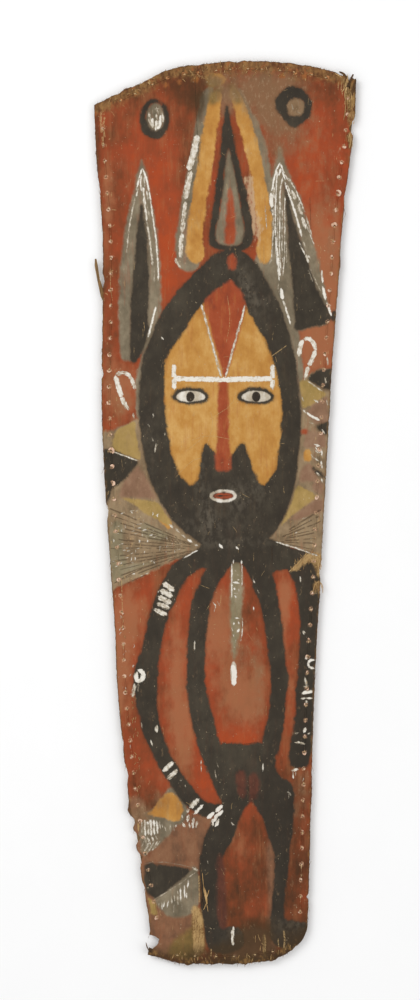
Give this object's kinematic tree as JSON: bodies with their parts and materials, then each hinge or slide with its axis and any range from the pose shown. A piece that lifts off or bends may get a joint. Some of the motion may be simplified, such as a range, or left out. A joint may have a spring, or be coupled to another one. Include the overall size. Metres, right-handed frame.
{
  "type": "sepik shield",
  "caption": "Tall painted shield of stiff palm sheath with a worn edge, sewn all round to flat slats at its back, lying with its painted figure upwards.",
  "frame": {"origin": "on the ground under the middle of the shield as it lies on its back", "axes": "+Y towards the wide top end, +Z out of the painted face, +X to the right of someone facing the paint with the top end up"},
  "size_m": [0.464, 1.5998, 0.0233],
  "materials": {
    "painted_sheath": "matt earth paints, red, yellow ochre, black, grey and chalk white, on dry palm sheath with upright fibres",
    "split_stalk": "dry split leaf stalk, weathered, with fine fibres along its length",
    "cane_strand": "pale split cane, dulled by dust and paint"
  },
  "bodies": {
    "root": {"painted_sheet": "painted_sheath", "left_slat": "split_stalk", "right_slat": "split_stalk", "top_slat": "split_stalk", "bottom_slat": "split_stalk", "left_stitching": "cane_strand", "right_stitching": "cane_strand", "top_stitching": "cane_strand", "bottom_stitching": "cane_strand"}
  },
  "joints": []
}
